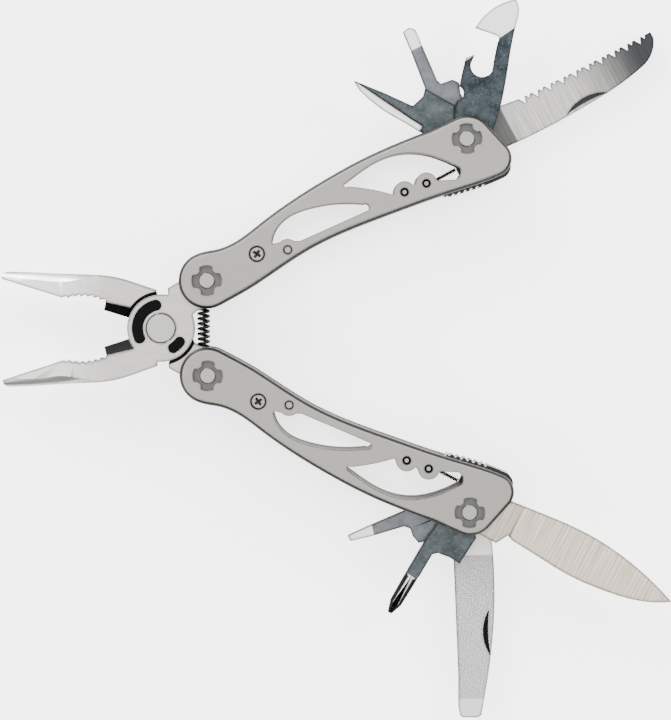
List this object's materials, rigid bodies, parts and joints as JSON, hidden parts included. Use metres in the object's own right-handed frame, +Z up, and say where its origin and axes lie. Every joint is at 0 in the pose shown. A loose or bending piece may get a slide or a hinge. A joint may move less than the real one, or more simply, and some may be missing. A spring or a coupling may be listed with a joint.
{
  "type": "multi tool",
  "caption": "Pocket multi tool: sprung pliers with wire cutter, folding skeleton handles, and saw, can opener, knife, file, awl and screwdrivers on locking pivots.",
  "frame": {"origin": "centre of the footprint of the part-open tool lying on its side, at the height of the lowest scale faces", "axes": "+Z up through the thickness of the handles, -X towards the plier noses, +Y towards the handle with the saw"},
  "size_m": [0.1901, 0.2054, 0.018],
  "materials": {
    "forged_steel": "satin bead-blasted",
    "pin_steel": "turned, bright",
    "spring_steel": "black oxide",
    "scale_aluminium": "satin bead-blasted",
    "blade_steel": "satin ground",
    "tool_steel": "dark satin with ground tips"
  },
  "bodies": {
    "jaw_a": {"jaw_a": "forged_steel", "jaw_rivet": "pin_steel", "jaw_spring": "spring_steel"},
    "jaw_b": {"jaw_b": "forged_steel"},
    "upper_handle": {"upper_front_scale": "scale_aluminium", "upper_back_scale": "scale_aluminium", "upper_pivot_yoke": "forged_steel", "upper_handle_rivet": "pin_steel", "upper_tool_rivet": "pin_steel", "upper_tool_washers": "forged_steel", "upper_yoke_screws": "pin_steel", "upper_dowel_pins": "pin_steel", "upper_spring_block": "forged_steel", "upper_block_pins": "pin_steel", "upper_lock_spring": "spring_steel"},
    "upper_lock": {"upper_lock_slider": "forged_steel"},
    "lower_handle": {"lower_front_scale": "scale_aluminium", "lower_back_scale": "scale_aluminium", "lower_pivot_yoke": "forged_steel", "lower_handle_rivet": "pin_steel", "lower_tool_rivet": "pin_steel", "lower_tool_washers": "forged_steel", "lower_yoke_screws": "pin_steel", "lower_dowel_pins": "pin_steel", "lower_spring_block": "forged_steel", "lower_block_pins": "pin_steel", "lower_lock_spring": "spring_steel"},
    "lower_lock": {"lower_lock_slider": "forged_steel"},
    "saw": {"saw": "blade_steel"},
    "can_opener": {"can_opener": "tool_steel"},
    "wide_screwdriver": {"wide_screwdriver": "tool_steel"},
    "awl": {"awl": "tool_steel"},
    "knife": {"knife": "blade_steel"},
    "file": {"file": "blade_steel"},
    "phillips_driver": {"phillips_driver": "tool_steel"},
    "small_screwdriver": {"small_screwdriver": "tool_steel"}
  },
  "joints": [
    {"name": "jaw_pivot", "type": "hinge", "parent": "jaw_a", "child": "jaw_b", "pos_m": [-0.0495, 0.0103, 0.009], "axis": [0, 0, -1], "range_deg": [-35.2, 12], "stiffness_Nm_per_rad": 0.15, "deforming": ["jaw_spring"]},
    {"name": "upper_handle_fold", "type": "hinge", "parent": "jaw_a", "child": "upper_handle", "pos_m": [-0.03611, 0.02378, 0.009], "axis": [0, 0, -1], "range_deg": [-168.5, 0]},
    {"name": "lower_handle_fold", "type": "hinge", "parent": "jaw_b", "child": "lower_handle", "pos_m": [-0.03611, -0.00318, 0.009], "axis": [0, 0, 1], "range_deg": [-168.5, 0]},
    {"name": "upper_lock_slide", "type": "slide", "parent": "upper_handle", "child": "upper_lock", "axis": [0.8821, 0.471, 0], "range_m": [-0.003, 0], "stiffness_N_per_m": 300, "deforming": ["upper_lock_spring"]},
    {"name": "lower_lock_slide", "type": "slide", "parent": "lower_handle", "child": "lower_lock", "axis": [0.8821, -0.471, 0], "range_m": [-0.003, 0], "stiffness_N_per_m": 300, "deforming": ["lower_lock_spring"]},
    {"name": "saw_fold", "type": "hinge", "parent": "upper_handle", "child": "saw", "pos_m": [0.03781, 0.06325, 0.009], "axis": [0, 0, -1], "range_deg": [-180, 0]},
    {"name": "can_opener_fold", "type": "hinge", "parent": "upper_handle", "child": "can_opener", "pos_m": [0.03781, 0.06325, 0.009], "axis": [0, 0, -1], "range_deg": [-128, 42]},
    {"name": "wide_screwdriver_fold", "type": "hinge", "parent": "upper_handle", "child": "wide_screwdriver", "pos_m": [0.03781, 0.06325, 0.009], "axis": [0, 0, -1], "range_deg": [-92, 88]},
    {"name": "awl_fold", "type": "hinge", "parent": "upper_handle", "child": "awl", "pos_m": [0.03781, 0.06325, 0.009], "axis": [0, 0, -1], "range_deg": [-55, 124]},
    {"name": "knife_fold", "type": "hinge", "parent": "lower_handle", "child": "knife", "pos_m": [0.03781, -0.04265, 0.009], "axis": [0, 0, 1], "range_deg": [-182.5, 0]},
    {"name": "file_fold", "type": "hinge", "parent": "lower_handle", "child": "file", "pos_m": [0.03781, -0.04265, 0.009], "axis": [0, 0, 1], "range_deg": [-116.5, 60]},
    {"name": "phillips_driver_fold", "type": "hinge", "parent": "lower_handle", "child": "phillips_driver", "pos_m": [0.03781, -0.04265, 0.009], "axis": [0, 0, 1], "range_deg": [-78, 98]},
    {"name": "small_screwdriver_fold", "type": "hinge", "parent": "lower_handle", "child": "small_screwdriver", "pos_m": [0.03781, -0.04265, 0.009], "axis": [0, 0, 1], "range_deg": [-39.5, 140]}
  ]
}
